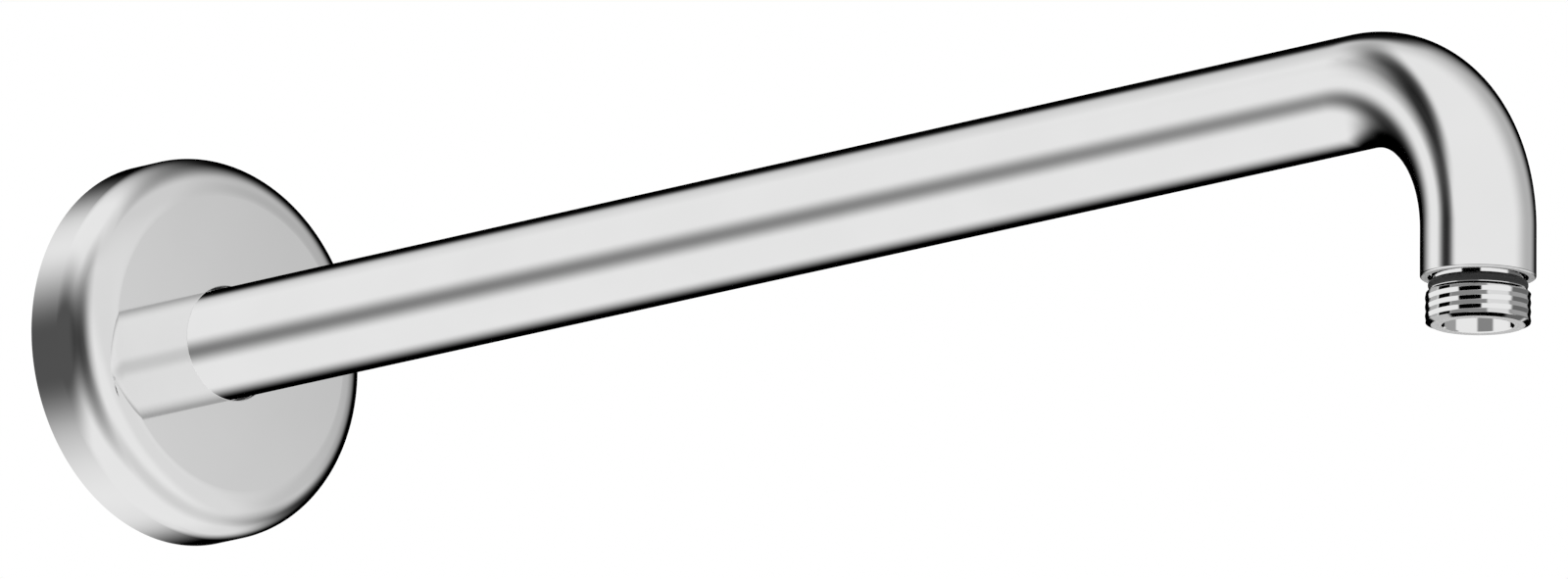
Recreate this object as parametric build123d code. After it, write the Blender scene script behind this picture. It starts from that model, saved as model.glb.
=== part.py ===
import os

from build123d import *

# Shower arm: a bent chromed brass tube with a threaded nipple brazed into each end,
# and a round wall escutcheon that slips over the tube on a rubber seal.
# Frame: wall plane at x = 0, +X out of the wall along the arm, +Z up, outlet down.
# All sizes are in millimetres.

# Tube
tube_d = 23.0
tube_wall = 1.5
projection = 390.0          # wall plane to the axis of the drop
bend_radius = 33.0          # to the tube's centreline
drop_straight = 9.8         # straight run below the bend
inlet_setback = 4.0         # tube's wall end stands this far in front of the wall plane
tube_edge_round = 0.4
tube_deburr = 0.3

# Nipples, G 1/2 parallel thread drawn at its outside diameter
thread_d = 20.955
thread_shoulder_chamfer = 0.7
thread_end_chamfer_radial = 1.2
thread_end_chamfer_axial = 0.58
braze_gap = 0.05            # around each spigot inside the tube
neck_step = 1.0             # neck below the tube's bore, on the radius
neck_wall = 0.93            # thinnest brass around the water way
mouth_chamfer = 0.25
inlet_spigot = 14.0
inlet_neck = 2.5
inlet_thread_length = 19.5
outlet_spigot = 9.0
outlet_recess = 1.2         # spigot shoulder lies this far inside the tube
outlet_collar = 0.5         # collar stands this far out of the tube
outlet_thread_length = 7.0

# Outlet O-ring, seated between the collar and the thread
o_ring_section = 2.0
o_ring_below_thread = 0.55  # ring lies this far inside the thread's outside radius
o_ring_side_gap = 0.05
seat_gap = 0.02

# Escutcheon
escutcheon_d = 80.0
escutcheon_depth = 17.0
escutcheon_wall = 1.8
edge_round = 9.0
inner_round_least = 0.5
slip_gap = 0.5              # hole to tube, on the radius
hole_edge_round = 0.2
hub_lip = 1.4               # face to seal groove
hub_land = 2.4              # behind the seal groove
hub_wall = 2.4
hub_root_round = 0.8

# Escutcheon seal
seal_section = 2.0
seal_running_gap = 0.06     # seal to tube, on the radius
seal_side_gap = 0.2

match_tolerance = 0.001     # for picking an edge by its radius

# Sizes worked out from the ones above
tube_r = tube_d / 2
bore_r = tube_r - tube_wall
thread_r = thread_d / 2
bend_x = projection - bend_radius
outlet_z = -(bend_radius + drop_straight)
spigot_r = bore_r - braze_gap
neck_r = bore_r - neck_step
o_ring_r = thread_r - o_ring_below_thread - o_ring_section / 2
groove_r = o_ring_r - o_ring_section / 2 - seat_gap
groove_width = o_ring_section + 2 * o_ring_side_gap
waterway_r = min(neck_r, groove_r) - neck_wall
hole_r = tube_r + slip_gap
seal_r = tube_r + seal_running_gap + seal_section / 2
seal_groove_r = seal_r + seal_section / 2 + seat_gap
seal_groove_width = seal_section + 2 * seal_side_gap
seal_x = escutcheon_depth - hub_lip - seal_groove_width / 2

# Frames at the two ends of the tube, z out of the tube
inlet_end = Plane(origin=(inlet_setback, 0, 0), x_dir=(0, 1, 0), z_dir=(-1, 0, 0))
outlet_end = Plane(origin=(projection, 0, outlet_z), x_dir=(1, 0, 0), z_dir=(0, 0, -1))


# Turns a closed outline of (radius, height) points about the local z axis
def turned(points, fillets=()):
    outline = make_face(Polyline(*points, close=True))
    for corner, radius in fillets:
        outline = fillet(outline.vertices().sort_by_distance((*corner, 0))[0], radius)
    return revolve(Plane.XZ * outline, Axis.Z)


# Round bar along the arm's centreline: straight run, quarter bend, drop
def bent_bar(radius):
    straight = Plane.YZ.offset(inlet_setback) * extrude(Circle(radius), bend_x - inlet_setback)
    bend_axis = Axis((bend_x, 0, -bend_radius), (0, 1, 0))
    bend = revolve(Plane.YZ.offset(bend_x) * Circle(radius), bend_axis, 90)
    drop = Plane((projection, 0, outlet_z)) * extrude(Circle(radius), drop_straight)
    return straight + bend + drop


# Outer rim of the tube at the end whose centre is given
def outer_rim(tube, end_centre):
    circles = tube.edges().filter_by(GeomType.CIRCLE)
    rims = circles.filter_by(lambda edge: abs(edge.radius - tube_r) < match_tolerance)
    return rims.sort_by_distance(end_centre)[0]


def make_arm_tube():
    tube = bent_bar(tube_r) - bent_bar(bore_r)
    tube = fillet(outer_rim(tube, outlet_end.origin), tube_edge_round)
    return chamfer(outer_rim(tube, inlet_end.origin), tube_deburr)


# Outline of a nipple from its spigot to its free end, as (radius, height) points.
# steps are (radius, height at its far end) pairs between the spigot and the thread.
def nipple_points(spigot, recess, steps, thread_length):
    points = [(waterway_r, -spigot), (spigot_r, -spigot), (spigot_r, -recess)]
    start = -recess
    for radius, stop in steps:
        points += [(radius, start), (radius, stop)]
        start = stop
    end = start + thread_length
    points += [
        (thread_r - thread_shoulder_chamfer, start),
        (thread_r, start + thread_shoulder_chamfer),
        (thread_r, end - thread_end_chamfer_axial),
        (thread_r - thread_end_chamfer_radial, end),
        (waterway_r + mouth_chamfer, end),
        (waterway_r, end - mouth_chamfer),
    ]
    return points


def make_inlet_nipple():
    steps = [(neck_r, inlet_neck)]
    return inlet_end * turned(nipple_points(inlet_spigot, 0.0, steps, inlet_thread_length))


def make_outlet_nipple():
    steps = [(neck_r, outlet_collar), (groove_r, outlet_collar + groove_width)]
    return outlet_end * turned(
        nipple_points(outlet_spigot, outlet_recess, steps, outlet_thread_length)
    )


def make_outlet_o_ring():
    ring_height = outlet_collar + groove_width / 2
    return outlet_end * Pos(0, 0, ring_height) * Torus(o_ring_r, o_ring_section / 2)


# Hollow cup with a hub behind its face; the hub's bore holds the seal groove
def make_escutcheon():
    rim_r = escutcheon_d / 2
    inner_rim_r = rim_r - escutcheon_wall
    face_x = escutcheon_depth
    inner_x = face_x - escutcheon_wall
    groove_front = face_x - hub_lip
    groove_back = groove_front - seal_groove_width
    hub_back = groove_back - hub_land
    hub_r = seal_groove_r + hub_wall
    points = [
        (rim_r, 0),
        (rim_r, face_x),
        (hole_r, face_x),
        (hole_r, groove_front),
        (seal_groove_r, groove_front),
        (seal_groove_r, groove_back),
        (hole_r, groove_back),
        (hole_r, hub_back),
        (hub_r, hub_back),
        (hub_r, inner_x),
        (inner_rim_r, inner_x),
        (inner_rim_r, 0),
    ]
    rounds = [
        ((rim_r, face_x), edge_round),
        ((hole_r, face_x), hole_edge_round),
        ((hub_r, inner_x), hub_root_round),
        ((inner_rim_r, inner_x), max(edge_round - escutcheon_wall, inner_round_least)),
    ]
    wall_plane = Plane(origin=(0, 0, 0), x_dir=(0, 1, 0), z_dir=(1, 0, 0))
    return wall_plane * turned(points, rounds)


def make_escutcheon_seal():
    return Pos(seal_x, 0, 0) * Rot(0, 90, 0) * Torus(seal_r, seal_section / 2)


nodes = {
    "arm_tube": make_arm_tube(),
    "inlet_nipple": make_inlet_nipple(),
    "outlet_nipple": make_outlet_nipple(),
    "outlet_o_ring": make_outlet_o_ring(),
    "escutcheon": make_escutcheon(),
    "escutcheon_seal": make_escutcheon_seal(),
}

os.makedirs("parts", exist_ok=True)
for name, solid in nodes.items():
    export_step(solid, f"parts/{name}.step")
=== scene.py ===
import math

import bmesh
import bpy
import numpy as np
from mathutils import Matrix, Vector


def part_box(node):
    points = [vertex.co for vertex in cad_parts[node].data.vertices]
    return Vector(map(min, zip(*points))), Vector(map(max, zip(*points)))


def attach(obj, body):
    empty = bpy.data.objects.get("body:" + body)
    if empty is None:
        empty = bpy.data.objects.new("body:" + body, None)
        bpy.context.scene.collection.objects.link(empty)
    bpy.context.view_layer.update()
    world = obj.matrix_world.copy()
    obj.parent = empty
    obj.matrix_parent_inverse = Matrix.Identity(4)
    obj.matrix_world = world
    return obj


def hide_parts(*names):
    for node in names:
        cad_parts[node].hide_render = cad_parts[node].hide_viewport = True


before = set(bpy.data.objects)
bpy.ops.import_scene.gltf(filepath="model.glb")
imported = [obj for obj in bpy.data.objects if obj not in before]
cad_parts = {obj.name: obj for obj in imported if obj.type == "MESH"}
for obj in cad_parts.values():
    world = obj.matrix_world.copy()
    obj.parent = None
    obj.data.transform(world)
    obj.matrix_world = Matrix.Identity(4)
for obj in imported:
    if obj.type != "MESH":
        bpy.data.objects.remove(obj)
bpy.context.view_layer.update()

# Chromed shower arm with a threaded nipple in each end, an O-ring at the outlet and a wall
# escutcheon that slips along the tube. Sizes are in millimetres, as in the part's source.
mm = 0.001
print("frame loaded with", len(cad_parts), "nodes")

meshing = {
    "holdBack": 0.04,           # a point this far from both ends of a run keeps the shading true
    "arcPoints": 9,             # on a rounded corner
    "sharpAngle": 32.0,         # degrees between two faces, from which their edge is sharp
    "cutDepth": 0.02,           # what lies this near to a cut end belongs to it
}


# Closed outline of (along, radius) points from corners (along, radius, round, step).
# A rounded corner is an arc that touches its two runs: points at even turns from the one touch to
# the other about the arc's centre. step is the longest gap between points on the run that follows.
def closedOutline(corners, arcPoints=meshing["arcPoints"]):
    holdBack = meshing["holdBack"]
    spots = np.array([corner[:2] for corner in corners], float)
    toLast = np.roll(spots, 1, 0) - spots
    toLast /= np.linalg.norm(toLast, axis=1)[:, None]
    toNext = np.roll(spots, -1, 0) - spots
    toNext /= np.linalg.norm(toNext, axis=1)[:, None]
    share = np.linspace(0, 1, arcPoints)[:, None]
    arcs = []
    for spot, last, onward, corner in zip(spots, toLast, toNext, corners):
        rounding = corner[2]
        if rounding == 0:
            arcs.append(spot[None])
            continue
        half = math.acos(np.clip(last @ onward, -1, 1)) / 2
        middle = (last + onward) / np.linalg.norm(last + onward)
        centre = spot + middle * rounding / math.sin(half)
        first = spot + last * rounding / math.tan(half) - centre
        final = spot + onward * rounding / math.tan(half) - centre
        sweep = math.pi - 2 * half
        arc = np.sin((1 - share) * sweep) * first + np.sin(share * sweep) * final
        arcs.append(centre + arc / math.sin(sweep))
    parts = []
    for k, corner in enumerate(corners):
        start, stop = arcs[k][-1], arcs[(k + 1) % len(arcs)][0]
        parts.append(arcs[k])
        length = np.linalg.norm(stop - start)
        if length > 3 * holdBack:
            gaps = max(math.ceil((length - 2 * holdBack) / corner[3]), 1)
            marks = np.linspace(holdBack, length - holdBack, gaps + 1)[:, None]
            parts.append(start + (stop - start) * marks / length)
    along, radius = np.concatenate(parts).T
    return along, radius


# Straight path: origin + along * axis, with the two directions across it
def straightPath(origin, axis, side, lift):
    def at(along):
        rows = np.ones((len(along), 1))
        centre = np.array(origin, float) + along[:, None] * np.array(axis, float)
        return centre, rows * np.array(side, float), rows * np.array(lift, float)

    return at


# Shell from a closed outline carried round a path: each point is
# centre(along) + radius * (cos(turn) * side(along) + sin(turn) * lift(along)).
# radius has one value for each outline point, or one for each point and turn. satin says which
# outline points are left dull and not polished.
def shellPiece(name, body, node, along, radius, path, turns, material, satin=None):
    turn = np.linspace(0, 2 * math.pi, turns, endpoint=False)[None, :, None]
    centre, side, lift = path(along)
    reach = np.broadcast_to(radius.reshape(len(along), -1), (len(along), turns))[..., None]
    across = np.cos(turn) * side[:, None] + np.sin(turn) * lift[:, None]
    points = ((centre[:, None] + reach * across) * mm).reshape(-1, 3)
    here = np.arange(len(points)).reshape(len(along), turns)
    onward = np.roll(here, -1, 0)
    quads = np.stack([here, np.roll(here, -1, 1), np.roll(onward, -1, 1), onward], -1).reshape(-1, 4)
    corner = points[quads]
    cross = np.cross(corner[:, 2] - corner[:, 0], corner[:, 3] - corner[:, 1])
    if (cross * corner.mean(1)).sum() < 0:  # volume from the faces, so that they point outwards
        quads = quads[:, ::-1]
    mesh = bpy.data.meshes.new(name)
    mesh.vertices.add(len(points))
    mesh.vertices.foreach_set("co", points.ravel())
    mesh.loops.add(quads.size)
    mesh.loops.foreach_set("vertex_index", np.ascontiguousarray(quads).ravel())
    mesh.polygons.add(len(quads))
    mesh.polygons.foreach_set("loop_start", np.arange(0, quads.size, 4))
    mesh.polygons.foreach_set("use_smooth", np.ones(len(quads), bool))
    mesh.update(calc_edges=True)
    mesh.set_sharp_from_angle(angle=math.radians(meshing["sharpAngle"]))
    travelled = mesh.attributes.new("travelled", "FLOAT", "POINT")
    travelled.data.foreach_set("value", np.repeat(along * mm, turns).astype(np.float32))
    if satin is not None:
        unpolished = mesh.attributes.new("unpolished", "FLOAT", "POINT")
        unpolished.data.foreach_set("value", np.repeat(satin, turns).astype(np.float32))
    mesh.materials.append(material)
    piece = bpy.data.objects.new(name, mesh)
    bpy.context.scene.collection.objects.link(piece)
    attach(piece, body)
    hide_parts(node)
    low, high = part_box(node)
    apart = np.abs([points.min(0) - np.array(low), points.max(0) - np.array(high)]).max()
    print(name, "has", len(quads), "faces; its box is within", round(apart / mm, 3), "mm of the solid's")
    return piece


# One socket of a node tree, so that sums on values are written as plain expressions
class Wire:
    def __init__(self, plan, socket):
        self.plan = plan
        self.socket = socket

    def sum(self, operation, *terms):
        return self.plan.node("ShaderNodeMath", {"operation": operation}, dict(enumerate(terms)))

    def __add__(self, other):
        return self.sum("ADD", self, other)

    def __radd__(self, other):
        return self.sum("ADD", other, self)

    def __sub__(self, other):
        return self.sum("SUBTRACT", self, other)

    def __rsub__(self, other):
        return self.sum("SUBTRACT", other, self)

    def __mul__(self, other):
        return self.sum("MULTIPLY", self, other)

    def __rmul__(self, other):
        return self.sum("MULTIPLY", other, self)

    def __pow__(self, other):
        return self.sum("POWER", self, other)


# A node tree that is written from empty
class Plan:
    def __init__(self, tree):
        self.tree = tree
        tree.nodes.clear()

    # Adds a node, its settings first and then its sockets, and gives back one of its outputs
    def node(self, kind, settings=None, sockets=None, out=0):
        made = self.tree.nodes.new(kind)
        for key, value in (settings or {}).items():
            setattr(made, key, value)
        for key, value in (sockets or {}).items():
            if isinstance(value, Wire):
                self.tree.links.new(value.socket, made.inputs[key])
            else:
                made.inputs[key].default_value = value
        return Wire(self, made.outputs[out]) if made.outputs else made

    # 0 below the first value, 1 above the second, with a smooth slope between them
    def step(self, value, low, high):
        sockets = {"Value": value, "From Min": low, "From Max": high}
        return self.node("ShaderNodeMapRange", {"interpolation_type": "SMOOTHSTEP"}, sockets)

    def dot(self, vector, direction):
        sockets = {0: vector, 1: tuple(float(part) for part in direction)}
        return self.node("ShaderNodeVectorMath", {"operation": "DOT_PRODUCT"}, sockets, "Value")

    # Noise about a half over a place
    def noise(self, place, scale, detail):
        sockets = {"Vector": place, "Scale": scale, "Detail": detail}
        return self.node("ShaderNodeTexNoise", None, sockets, "Fac")

    # The first colour where share is 0, the second where it is 1
    def blend(self, share, first, second):
        sockets = {0: share, 6: first, 7: second}
        return self.node("ShaderNodeMix", {"data_type": "RGBA"}, sockets, 2)


# A new material with the plan of its nodes
def startMaterial(name):
    material = bpy.data.materials.new(name)
    material.use_nodes = True
    return material, Plan(material.node_tree)


chromeLook = {
    "dull": (0.80, 0.80, 0.80, 1.0),
    "bright": (0.85, 0.85, 0.85, 1.0),
    "roughness": 0.05,
    "hazeScale": 45.0,          # per metre, as the other scales
    "hazeDetail": 3.0,
    "hazeSpread": 0.02,
    "lineScale": 2600.0,        # polishing lines
    "lineDetail": 2.0,
    "lineSpread": 0.015,
    "waveScale": 55.0,          # slow waviness of the polished face
    "waveDetail": 1.0,
    "waveHeight": 0.0000015,    # in metres
    "satin": (0.62, 0.62, 0.62, 1.0),
    "satinRoughness": 0.5,      # added where the face is not polished
    "satinLines": 0.2,
    "satinDullness": 0.6,       # metallic lost there
}
nippleLook = dict(chromeLook, satin=(0.76, 0.76, 0.76, 1.0))  # paler on a freshly faced end


# Polished chrome: a faint haze in colour and roughness, fine polishing lines across the length that
# lines gives, and a slow waviness of the face. Where the mesh says unpolished it is a dull satin.
def chrome(name, lines, look):
    material, plan = startMaterial(name)
    place = plan.node("ShaderNodeTexCoord", out="Object")
    haze = plan.noise(place, look["hazeScale"], look["hazeDetail"])
    wave = plan.noise(place, look["waveScale"], look["waveDetail"])
    line = plan.node(
        "ShaderNodeTexNoise",
        {"noise_dimensions": "1D"},
        {"W": lines(plan, place), "Scale": look["lineScale"], "Detail": look["lineDetail"]},
        "Fac",
    )
    satin = plan.node("ShaderNodeAttribute", {"attribute_name": "unpolished"}, None, "Fac")
    colour = plan.blend(satin, plan.blend(haze, look["dull"], look["bright"]), look["satin"])
    roughness = look["roughness"] + (haze - 0.5) * look["hazeSpread"] + (line - 0.5) * look["lineSpread"]
    roughness = roughness + satin * (look["satinRoughness"] + (line - 0.5) * look["satinLines"])
    metallic = 1 - satin * look["satinDullness"]
    bump = plan.node("ShaderNodeBump", None, {"Distance": look["waveHeight"], "Height": wave})
    shader = plan.node(
        "ShaderNodeBsdfPrincipled",
        None,
        {"Base Color": colour, "Metallic": metallic, "Roughness": roughness, "Normal": bump},
    )
    plan.node("ShaderNodeOutputMaterial", None, {"Surface": shader})
    return material


# Length along the bent tube, kept on the mesh
def tubeLines(plan, place):
    return plan.node("ShaderNodeAttribute", {"attribute_name": "travelled"}, None, "Fac")


# Distance from a turning axis, plus the length along it, for the marks that a lathe leaves
def latheLines(origin, axis):
    centre = tuple(part * mm for part in origin)

    def lines(plan, place):
        offset = plan.node("ShaderNodeVectorMath", {"operation": "SUBTRACT"}, {0: place, 1: centre})
        length = plan.node("ShaderNodeVectorMath", {"operation": "LENGTH"}, {0: offset}, "Value")
        depth = plan.dot(offset, axis)
        return (length * length - depth * depth) ** 0.5 + depth

    return lines


rubberLook = {
    "dark": (0.009, 0.009, 0.0095, 1.0),
    "pale": (0.017, 0.017, 0.0175, 1.0),
    "roughness": 0.5,
    "roughSpread": 0.15,
    "bloomScale": 700.0,        # per metre
    "bloomDetail": 4.0,
    "grainScale": 5000.0,
    "grainDetail": 2.0,
    "grainHeight": 0.00001,     # in metres
}


# Black rubber: a grey bloom in patches and a fine moulded grain
def rubber(name, look):
    material, plan = startMaterial(name)
    place = plan.node("ShaderNodeTexCoord", out="Object")
    bloom = plan.noise(place, look["bloomScale"], look["bloomDetail"])
    grain = plan.noise(place, look["grainScale"], look["grainDetail"])
    colour = plan.blend(bloom, look["dark"], look["pale"])
    roughness = look["roughness"] + bloom * look["roughSpread"]
    bump = plan.node("ShaderNodeBump", None, {"Distance": look["grainHeight"], "Height": grain})
    shader = plan.node(
        "ShaderNodeBsdfPrincipled", None, {"Base Color": colour, "Roughness": roughness, "Normal": bump}
    )
    plan.node("ShaderNodeOutputMaterial", None, {"Surface": shader})
    return material


armTube = {
    "outer": 11.5,
    "bore": 10.0,
    "wallEnd": 4.0,             # the tube starts this far from the wall
    "projection": 390.0,        # from the wall to the middle of the drop
    "bendRadius": 33.0,         # to the centreline
    "drop": 9.8,                # straight run below the bend
    "edgeRound": 0.4,
    "deburr": 0.3,
    "cutStep": 1.0,             # this and the other steps are longest gaps between points
    "runStep": 6.0,
    "bendStep": 0.7,
    "dropStep": 1.5,
    "edgeStep": 0.5,
    "boreBendStep": 1.6,
    "boreRunStep": 12.0,
    "turns": 192,
}
outletEnd = (armTube["projection"], 0, -armTube["bendRadius"] - armTube["drop"])


# Lengths along the centreline at which the bend starts, the bend stops and the tube ends
def armMarks():
    bendStart = armTube["projection"] - armTube["bendRadius"] - armTube["wallEnd"]
    bendStop = bendStart + armTube["bendRadius"] * math.pi / 2
    return bendStart, bendStop, bendStop + armTube["drop"]


# Centreline of the arm: a straight run along x, a quarter circle, and a drop along -z
def armPath(along):
    bendStart, bendStop = armMarks()[:2]
    bend = armTube["bendRadius"]
    angle = np.clip((along - bendStart) / bend, 0, math.pi / 2)
    below = np.maximum(along - bendStop, 0)
    level = np.zeros_like(along)
    outwards = armTube["wallEnd"] + np.minimum(along, bendStart) + bend * np.sin(angle)
    upwards = bend * (np.cos(angle) - 1) - below
    centre = np.stack([outwards, level, upwards], 1)
    side = np.stack([level, level + 1, level], 1)
    lift = np.stack([np.sin(angle), level, np.cos(angle)], 1)
    return centre, side, lift


# Round tube along the centreline, with a deburred wall end and a rounded outlet end
def makeArmTube(material):
    outer, bore, deburr = armTube["outer"], armTube["bore"], armTube["deburr"]
    bendStart, bendStop, end = armMarks()
    corners = [
        (0, bore, 0, armTube["cutStep"]),
        (0, outer - deburr, 0, armTube["cutStep"]),
        (deburr, outer, 0, armTube["runStep"]),
        (bendStart, outer, 0, armTube["bendStep"]),
        (bendStop, outer, 0, armTube["dropStep"]),
        (end, outer, armTube["edgeRound"], armTube["edgeStep"]),
        (end, bore, 0, armTube["dropStep"]),
        (bendStop, bore, 0, armTube["boreBendStep"]),
        (bendStart, bore, 0, armTube["boreRunStep"]),
    ]
    along, radius = closedOutline(corners)
    cut = (along < meshing["cutDepth"]) | (along > end - meshing["cutDepth"])
    return shellPiece(
        "chromed_tube",
        "arm",
        "arm_tube",
        along,
        radius,
        armPath,
        armTube["turns"],
        material,
        cut,
    )


nipple = {
    "threadRadius": 10.4775,    # G 1/2
    "pitch": 1.814,
    "shoulderChamfer": 0.7,
    "endChamferAcross": 1.2,
    "endChamferAlong": 0.58,
    "mouthChamfer": 0.25,
    "brazeGap": 0.05,           # spigot to the tube's bore
    "neckInset": 1.0,           # neck below the tube's bore
    "neckWall": 0.93,           # thinnest brass round the water way
    "plainStep": 1.0,           # this and the other steps are longest gaps between points
    "shelfStep": 0.3,
    "mouthStep": 0.1,
}
outletRing = {
    "section": 1.0,             # radius of the round section
    "inset": 0.55,              # below the thread's outside
    "seatGap": 0.02,
    "sideGap": 0.05,
    "turns": 200,
    "rows": 56,                 # points round the section
}
outletNipple = {
    "spigot": 9.0,
    "recess": 1.2,              # the shoulder lies this far inside the tube
    "collar": 0.5,              # the collar stands this far out of it
    "taper": 0.18,              # the neck widens by this much into the tube
    "taperFrom": -0.35,         # it tapers from here, just inside the tube
    "lipHeight": 0.15,          # thin lip round the O-ring
    "lipInside": 9.68,          # its inner radius
    "threadLength": 7.0,
    "threadDepth": 0.17,        # only rolled in, as the photograph shows
    "crestRound": 0.05,
    "flankAngle": 79.4,         # degrees from straight across
    "runOut": 0.3,              # the thread fades over this length at its shoulder
    "crestAt": -0.18,           # first crest on the side of turn 0
    "threadStep": 0.045,
    "turns": 240,
}
inletNipple = {
    "spigot": 14.0,
    "neck": 2.5,
    "threadLength": 19.5,
    "threadDepth": 1.162,
    "crestRound": 0.249,
    "flankAngle": 27.5,
    "runOut": 0.9,
    "crestAt": 0.0,
    "threadStep": 0.07,
    "turns": 168,
}
spigotRadius = armTube["bore"] - nipple["brazeGap"]
neckRadius = armTube["bore"] - nipple["neckInset"]
outletRingRadius = nipple["threadRadius"] - outletRing["inset"] - outletRing["section"]
ringGrooveRadius = outletRingRadius - outletRing["section"] - outletRing["seatGap"]
ringGrooveWidth = 2 * (outletRing["section"] + outletRing["sideGap"])
waterway = min(neckRadius, ringGrooveRadius) - nipple["neckWall"]


# Radius of a right-hand thread at each (along, turn): the distance from the nearest crest line is
# carried through a round crest, a straight flank and a round root
def threadRadius(along, size, start):
    pitch, rounding, turns = nipple["pitch"], size["crestRound"], size["turns"]
    slope = math.radians(size["flankAngle"])
    share = (along[:, None] - size["crestAt"]) / pitch - np.arange(turns)[None] / turns
    fromCrest = np.abs(share - np.round(share)) * pitch
    edge = rounding * math.cos(slope)
    half = pitch / 2
    crest = rounding - np.sqrt(np.maximum(rounding**2 - np.minimum(fromCrest, edge) ** 2, 0))
    flank = (np.clip(fromCrest, edge, half - edge) - edge) / math.tan(slope)
    back = np.minimum(half - fromCrest, edge)
    root = np.sqrt(np.maximum(rounding**2 - back**2, 0)) - math.sqrt(rounding**2 - edge**2)
    depth = crest + flank + root
    fade = np.clip((along - start) / size["runOut"], 0, 1)[:, None]
    depth = depth * fade * fade * (3 - 2 * fade) * size["threadDepth"] / depth.max()
    return nipple["threadRadius"] - depth


# Nipple turned from its spigot to its free end, with the thread cut into its outside: the radius is
# the smaller of the outline's and the thread's. shelf has the corners between spigot and thread.
def makeNipple(name, node, size, shelf, start, path, material):
    outer, mouth = nipple["threadRadius"], nipple["mouthChamfer"]
    end = start + size["threadLength"]
    fine, plain = size["threadStep"], nipple["plainStep"]
    corners = [(-size["spigot"], waterway, 0, plain), (-size["spigot"], spigotRadius, 0, plain)]
    corners += [(*corner, 0, nipple["shelfStep"]) for corner in shelf]
    corners += [
        (start, outer - nipple["shoulderChamfer"], 0, fine),
        (start + nipple["shoulderChamfer"], outer, 0, fine),
        (end - nipple["endChamferAlong"], outer, 0, fine),
        (end, outer - nipple["endChamferAcross"], 0, nipple["shelfStep"]),
        (end, waterway + mouth, 0, nipple["mouthStep"]),
        (end - mouth, waterway, 0, plain),
    ]
    along, radius = closedOutline(corners)
    grooved = np.minimum(radius[:, None], threadRadius(along, size, start))
    threaded = ((along > start) & (radius > outer - nipple["endChamferAcross"]))[:, None]
    radius = np.where(threaded, grooved, radius[:, None])
    cut = along > end - meshing["cutDepth"]
    return shellPiece(
        name, "arm", node, along, radius, path, size["turns"], material, cut
    )


def makeOutletNipple(path, material):
    collar, recess = outletNipple["collar"], outletNipple["recess"]
    start = collar + ringGrooveWidth
    lipStart = start - outletNipple["lipHeight"]
    wideNeck = neckRadius + outletNipple["taper"]
    shelf = [
        (-recess, spigotRadius),
        (-recess, wideNeck),
        (outletNipple["taperFrom"], wideNeck),
        (collar, neckRadius),
        (collar, ringGrooveRadius),
        (start, ringGrooveRadius),
        (start, outletNipple["lipInside"]),
        (lipStart, outletNipple["lipInside"]),
        (lipStart, nipple["threadRadius"] - nipple["shoulderChamfer"]),
    ]
    return makeNipple("outlet_thread", "outlet_nipple", outletNipple, shelf, start, path, material)


def makeInletNipple(path, material):
    start = inletNipple["neck"]
    shelf = [(0, spigotRadius), (0, neckRadius), (start, neckRadius)]
    return makeNipple("inlet_thread", "inlet_nipple", inletNipple, shelf, start, path, material)


# O-ring: a round section about (middle, ring) carried round the path
def makeRing(name, body, node, size, ring, middle, path, material):
    angle = np.linspace(0, 2 * math.pi, size["rows"], endpoint=False)
    along = middle + size["section"] * np.cos(angle)
    radius = ring + size["section"] * np.sin(angle)
    return shellPiece(name, body, node, along, radius, path, size["turns"], material)


coverSeal = {
    "section": 1.0,
    "runningGap": 0.06,         # seal to tube
    "seatGap": 0.02,
    "sideGap": 0.2,
    "turns": 200,
    "rows": 56,
}
escutcheon = {
    "rim": 40.0,
    "depth": 17.0,
    "wall": 1.8,
    "edgeRound": 9.0,
    "slipGap": 0.5,             # hole to tube
    "holeRound": 0.2,
    "lip": 1.4,                 # in front of the seal's groove
    "land": 2.4,                # behind it
    "hubWall": 2.4,
    "hubRound": 0.8,
    "arcPoints": 25,
    "cupStep": 1.5,             # this and the other steps are longest gaps between points
    "hubStep": 0.8,
    "edgeStep": 0.5,
    "lipStep": 0.4,
    "turns": 288,
}
sealRadius = armTube["outer"] + coverSeal["runningGap"] + coverSeal["section"]
sealGrooveRadius = sealRadius + coverSeal["section"] + coverSeal["seatGap"]
sealGrooveWidth = 2 * (coverSeal["section"] + coverSeal["sideGap"])
sealMiddle = escutcheon["depth"] - escutcheon["lip"] - sealGrooveWidth / 2


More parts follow.
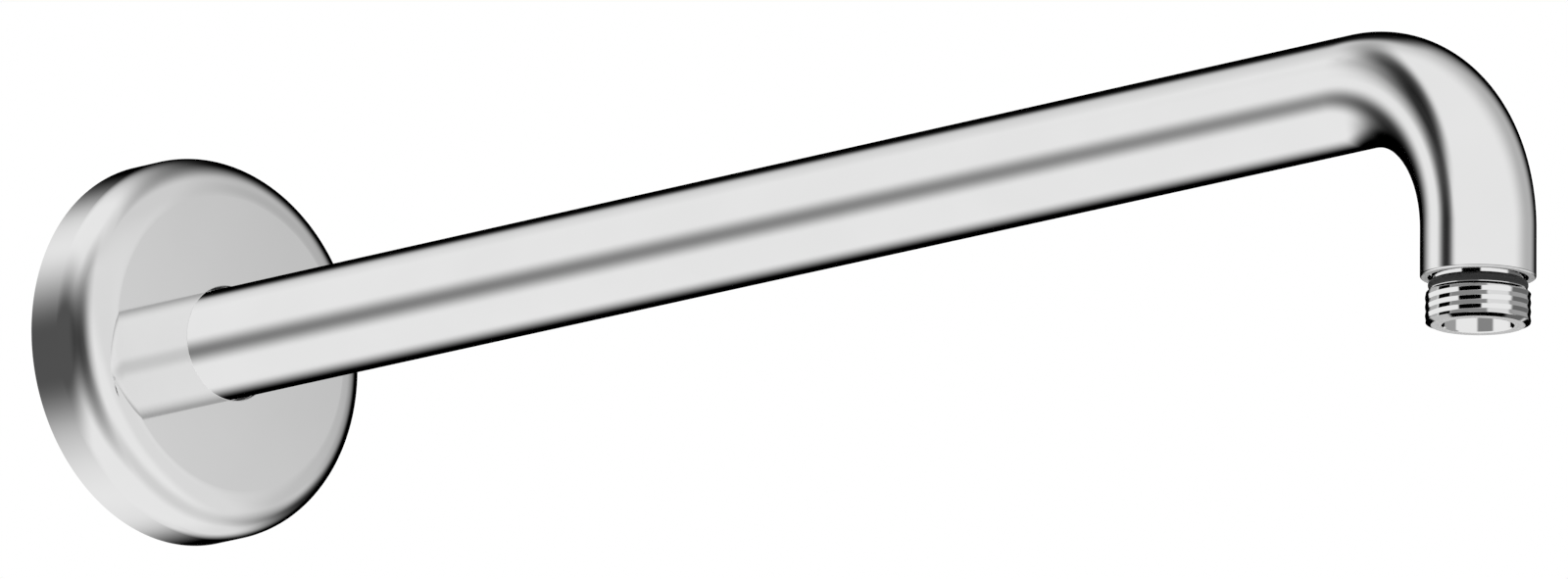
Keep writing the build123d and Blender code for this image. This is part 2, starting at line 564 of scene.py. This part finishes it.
# Hollow cup turned about the tube's axis, with a hub behind its face that holds the seal. What lies
# nearer to the cup's inside than to its outside is not polished.
def makeEscutcheon(path, material):
    rim, face, wall = escutcheon["rim"], escutcheon["depth"], escutcheon["wall"]
    hole = armTube["outer"] + escutcheon["slipGap"]
    edgeRound = escutcheon["edgeRound"]
    inside = face - wall
    grooveFront = face - escutcheon["lip"]
    grooveBack = grooveFront - sealGrooveWidth
    hubBack = grooveBack - escutcheon["land"]
    hub = sealGrooveRadius + escutcheon["hubWall"]
    cupStep, hubStep, edgeStep = escutcheon["cupStep"], escutcheon["hubStep"], escutcheon["edgeStep"]
    corners = [
        (0, rim, 0, cupStep),
        (face, rim, edgeRound, cupStep),
        (face, hole, escutcheon["holeRound"], escutcheon["lipStep"]),
        (grooveFront, hole, 0, edgeStep),
        (grooveFront, sealGrooveRadius, 0, hubStep),
        (grooveBack, sealGrooveRadius, 0, edgeStep),
        (grooveBack, hole, 0, hubStep),
        (hubBack, hole, 0, hubStep),
        (hubBack, hub, 0, hubStep),
        (inside, hub, escutcheon["hubRound"], cupStep),
        (inside, rim - wall, edgeRound - wall, cupStep),
        (0, rim - wall, 0, edgeStep),
    ]
    along, radius = closedOutline(corners, escutcheon["arcPoints"])
    beyondFace = np.maximum(along - face + edgeRound, 0)
    beyondRim = np.maximum(radius - rim + edgeRound, 0)
    within = np.hypot(beyondFace, beyondRim) < edgeRound - wall / 2
    return shellPiece(
        "wall_cover",
        "wall_escutcheon",
        "escutcheon",
        along,
        radius,
        path,
        escutcheon["turns"],
        material,
        within,
    )


wallPath = straightPath((0, 0, 0), (1, 0, 0), (0, 1, 0), (0, 0, 1))
inletPath = straightPath((armTube["wallEnd"], 0, 0), (-1, 0, 0), (0, 1, 0), (0, 0, -1))
outletPath = straightPath(outletEnd, (0, 0, -1), (1, 0, 0), (0, -1, 0))
wallLathe = latheLines((0, 0, 0), (1, 0, 0))
outletLathe = latheLines((armTube["projection"], 0, 0), (0, 0, 1))
tubeChrome = chrome("polished_tube_chrome", tubeLines, chromeLook)
coverChrome = chrome("polished_cover_chrome", wallLathe, chromeLook)
inletChrome = chrome("turned_inlet_chrome", wallLathe, nippleLook)
outletChrome = chrome("turned_outlet_chrome", outletLathe, nippleLook)
sealRubber = rubber("black_seal_rubber", rubberLook)
tube = makeArmTube(tubeChrome)
threads = [makeInletNipple(inletPath, inletChrome), makeOutletNipple(outletPath, outletChrome)]
outletSeal = makeRing(
    "outlet_seal_ring",
    "arm",
    "outlet_o_ring",
    outletRing,
    outletRingRadius,
    outletNipple["collar"] + ringGrooveWidth / 2,
    outletPath,
    sealRubber,
)
cover = makeEscutcheon(wallPath, coverChrome)
coverRing = makeRing(
    "cover_seal_ring",
    "wall_escutcheon",
    "escutcheon_seal",
    coverSeal,
    sealRadius,
    sealMiddle,
    wallPath,
    sealRubber,
)
for piece in (cover, coverRing, outletSeal, *threads):  # the chrome mirrors the studio, not these
    piece.visible_glossy = False
print("pieces made")


# Studio domes that only polished faces see, one each for the arm, the wall cover and the threads, each
# white with soft dark flags. A flag is an oval: azimuth from +x towards +y, elevation and roll in
# degrees, half its width and half its height in degrees, the share of that which is soft edge, and the
# light it takes. The flags under mirrored act only on what the cover or the bend mirrors of the arm,
# and those under unmirrored only on the arm as it is seen straight.
armDome = {
    "name": "arm_dome",
    "centre": (200.0, 0.0, 0.0),
    "radius": 5000.0,
    "level": 0.94,
    "flags": {
        "beyond": (132, 10, 10, 38, 46, 0.4, 1.0),
        "beyondHigh": (144, 34, -2, 14, 28, 0.45, 0.95),
        "wall": (164, 0, -4, 34, 26, 0.6, 1.0),
        "wallBand": (-168, -6, -14, 46, 12, 0.85, 0.9),
        "left": (-104, 4, 46, 12, 26, 0.65, 0.95),
        "leftHigh": (-110, 32, 18, 10, 20, 0.7, 0.9),
        "leftVeil": (-116, 40, -48, 24, 16, 0.5, 0.65),
        "leftTop": (-128, 54, -30, 26, 8, 0.8, 0.75),
        "right": (94, 32, -42, 38, 66, 0.55, 0.45),
    },
    "unmirrored": {
        "front": (0, -15, 0, 85, 12, 0.5, 0.85),
        "frontLow": (0, -60, 0, 60, 12, 0.7, 0.45),
    },
    "mirroredLift": 0.12,       # share of light added to what is mirrored
    "mirrored": {
        "edges": (42, 9, 0, 38, 38, 0.5, 0.5),
        "streak": (-42, -13, 0, 34, 9, 0.8, 0.22),
    },
}
coverDome = {
    "name": "cover_dome",
    "centre": (100.0, 0.0, 0.0),
    "radius": 600.0,
    "level": 0.945,
    "flags": {
        "beyond": (133, 10, -5, 46, 36, 0.4, 1.0),
        "beyondHigh": (130, 38, 10, 24, 48, 1.0, 1.0),
        "wall": (165, 16, 34, 20, 40, 1.0, 0.7),
        "wallLeft": (-120, 0, 5, 50, 30, 0.5, 0.9),
        "left": (-72, -5, 5, 20, 40, 0.9, 0.85),
        "rightLow": (108, -15, 46, 26, 12, 1.0, 0.9),
        "right": (67, 10, 10, 20, 36, 0.5, 0.3),
        "overhead": (56, 50, 40, 36, 70, 0.5, 0.23),
        "below": (-5, -65, 65, 14, 90, 0.8, 0.2),
        "faceVeil": (42, -20, -30, 150, 20, 0.5, 0.12),
    },
}
threadDome = {
    "name": "thread_dome",
    "centre": (armTube["projection"], 0.0, -48.0),
    "radius": 3000.0,
    "level": 0.96,
    "flags": {
        "limbs": (139, 4, 0, 43, 34, 0.08, 1.0),
        "lowerFlank": (-61, -9, 0, 25, 9, 0.1, 1.0),
        "upperFlank": (-130, 28, 8, 15, 10, 0.12, 1.0),
        "upperVeil": (-66, 33, 0, 44, 12, 0.12, 0.72),
        "upperMiddle": (7, 31, 0, 28, 8, 0.3, 0.15),
        "upperLeft": (-167, 22, 8, 17, 9, 0.3, 0.5),
        "right": (70, 12, 0, 36, 75, 0.12, 0.6),
        "rightLow": (66, -1, 0, 34, 10, 0.2, 0.6),
        "bore": (-68, 12, 0, 26, 8, 0.2, 0.72),
        "chamfer": (137, -61, 0, 19, 14, 0.12, 1.0),
        "chamferLeft": (159, -40, 0, 10, 14, 0.3, 0.4),
        "chamferRight": (113, -42, 0, 9, 14, 0.3, 0.85),
        "shoulder": (137, 78, 0, 30, 22, 0.3, 1.0),
        "shoulderRight": (118, 42, 0, 24, 30, 0.15, 1.0),
    },
}
domeFineness = 5                # times that the ball's faces are divided
secondMirror = 1.5              # a ray deeper than this has met two mirrors


# Unit vectors ahead, to the side and upwards for a bearing given in degrees
def bearingAxes(azimuth, elevation, roll):
    azimuth, elevation, roll = np.radians([azimuth, elevation, roll])
    flat = np.cos(elevation)
    ahead = np.array([flat * np.cos(azimuth), flat * np.sin(azimuth), np.sin(elevation)])
    level = np.array([-np.sin(azimuth), np.cos(azimuth), 0])
    upright = np.cross(ahead, level)
    side = np.cos(roll) * level + np.sin(roll) * upright
    return ahead, side, np.cos(roll) * upright - np.sin(roll) * level


# Share of the light that a flag leaves in a direction: 1 outside the oval, 1 - takes well inside it
def flagShade(plan, direction, flag):
    azimuth, elevation, roll, wide, tall, soft, takes = flag
    ahead, side, upward = bearingAxes(azimuth, elevation, roll)
    bearing = direction.sum("ARCTAN2", plan.dot(direction, side), plan.dot(direction, ahead))
    height = direction.sum("ARCSINE", plan.dot(direction, upward))
    bearing = bearing * (math.degrees(1) / wide)
    height = height * (math.degrees(1) / tall)
    outward = (bearing * bearing + height * height) ** 0.5
    return 1 - takes * (1 - plan.step(outward, 1 - soft, 1 + soft))


# Ball of light that only the receivers' polish sees: its level times what each flag leaves of it
def makeDome(dome, receivers):
    ball = bmesh.new()
    bmesh.ops.create_icosphere(ball, subdivisions=domeFineness, radius=dome["radius"] * mm)
    mesh = bpy.data.meshes.new(dome["name"])
    ball.to_mesh(mesh)
    ball.free()
    material, plan = startMaterial(dome["name"])
    material.cycles.emission_sampling = "NONE"
    place = plan.node("ShaderNodeTexCoord", out="Object")
    direction = plan.node("ShaderNodeVectorMath", {"operation": "NORMALIZE"}, {0: place})
    strength = dome["level"]
    for flag in dome["flags"].values():
        strength = flagShade(plan, direction, flag) * strength
    depth = plan.node("ShaderNodeLightPath", out="Ray Depth")
    again = depth.sum("GREATER_THAN", depth, secondMirror)
    strength = strength * (1 + again * dome.get("mirroredLift", 0.0))
    for flag in dome.get("mirrored", {}).values():
        strength = strength * (1 - again * (1 - flagShade(plan, direction, flag)))
    for flag in dome.get("unmirrored", {}).values():
        strength = strength * (1 - (1 - again) * (1 - flagShade(plan, direction, flag)))
    light = plan.node("ShaderNodeEmission", None, {"Color": strength})
    clear = plan.node("ShaderNodeBsdfTransparent")
    both = plan.node("ShaderNodeAddShader", None, {0: light, 1: clear})
    plan.node("ShaderNodeOutputMaterial", None, {"Surface": both})
    mesh.materials.append(material)
    shell = bpy.data.objects.new(dome["name"], mesh)
    shell.location = [part * mm for part in dome["centre"]]
    bpy.context.scene.collection.objects.link(shell)
    for kind in ("camera", "diffuse", "transmission", "volume_scatter", "shadow"):
        setattr(shell, "visible_" + kind, False)
    reached = bpy.data.collections.new(dome["name"] + "_reach")
    for piece in receivers:
        reached.objects.link(piece)
    shell.light_linking.receiver_collection = reached


# White all round for the camera and for matt faces; polished faces see the domes instead
def makeWorld():
    world = bpy.data.worlds.new("white_studio")
    bpy.context.scene.world = world
    world.use_nodes = True
    plan = Plan(world.node_tree)
    mirrored = plan.node("ShaderNodeLightPath", out="Is Glossy Ray")
    light = plan.node("ShaderNodeBackground", None, {"Color": 1 - mirrored})
    plan.node("ShaderNodeOutputWorld", None, {"Surface": light})


floor = {
    "height": -2050.0,          # a shower's floor below an arm at its usual height
    "reach": 4000.0,
    "pale": (0.86, 0.86, 0.855, 1.0),
    "paler": (0.92, 0.92, 0.915, 1.0),
    "mottleScale": 6.0,         # per metre
    "mottleDetail": 2.0,
    "roughness": 0.7,
}


# Plain pale floor; from below it is clear, because the photograph looks up at the arm
def makeFloor():
    reach, height = floor["reach"] * mm, floor["height"] * mm
    corners = [(x * reach, y * reach, height) for x, y in ((-1, -1), (1, -1), (1, 1), (-1, 1))]
    mesh = bpy.data.meshes.new("pale_floor")
    mesh.from_pydata(corners, [], [(0, 1, 2, 3)])
    material, plan = startMaterial("pale_floor")
    place = plan.node("ShaderNodeTexCoord", out="Object")
    mottle = plan.noise(place, floor["mottleScale"], floor["mottleDetail"])
    colour = plan.blend(mottle, floor["pale"], floor["paler"])
    matt = plan.node(
        "ShaderNodeBsdfPrincipled", None, {"Base Color": colour, "Roughness": floor["roughness"]}
    )
    below = plan.node("ShaderNodeNewGeometry", out="Backfacing")
    clear = plan.node("ShaderNodeBsdfTransparent")
    either = plan.node("ShaderNodeMixShader", None, {0: below, 1: matt, 2: clear})
    plan.node("ShaderNodeOutputMaterial", None, {"Surface": either})
    mesh.materials.append(material)
    slab = bpy.data.objects.new("pale_floor", mesh)
    slab.visible_glossy = False  # the domes stand in for it there
    bpy.context.scene.collection.objects.link(slab)


camera = {
    "azimuth": 47.645,          # degrees from straight ahead along +y
    "elevation": -11.991,
    "roll": 0.446,
    "target": (187.02, 0.0, -14.36),
    "distance": 5500.0,
    "lens": 623.05,
    "sensor": 36.0,
    "sight": 100.0,             # metres
}


def makeCamera():
    azimuth, elevation, roll = (math.radians(camera[key]) for key in ("azimuth", "elevation", "roll"))
    flat = math.cos(elevation)
    back = np.array([math.sin(azimuth) * flat, -math.cos(azimuth) * flat, math.sin(elevation)])
    level = np.array([math.cos(azimuth), math.sin(azimuth), 0])
    upright = np.cross(back, level)
    right = math.cos(roll) * level + math.sin(roll) * upright
    up = math.cos(roll) * upright - math.sin(roll) * level
    spot = (np.array(camera["target"]) + back * camera["distance"]) * mm
    lens = bpy.data.cameras.new("photo_camera")
    lens.sensor_width = camera["sensor"]
    lens.lens = camera["lens"]
    lens.clip_end = camera["sight"]
    viewer = bpy.data.objects.new("photo_camera", lens)
    rows = np.stack([right, up, back, spot], 1).tolist()
    viewer.matrix_world = Matrix([*rows, (0, 0, 0, 1)])
    bpy.context.scene.collection.objects.link(viewer)
    bpy.context.scene.camera = viewer


makeWorld()
makeFloor()
makeDome(armDome, (tube, outletSeal))
makeDome(threadDome, threads)
makeDome(coverDome, (cover, coverRing))
makeCamera()
bpy.context.scene.view_settings.view_transform = "Standard"
print("studio and camera made")
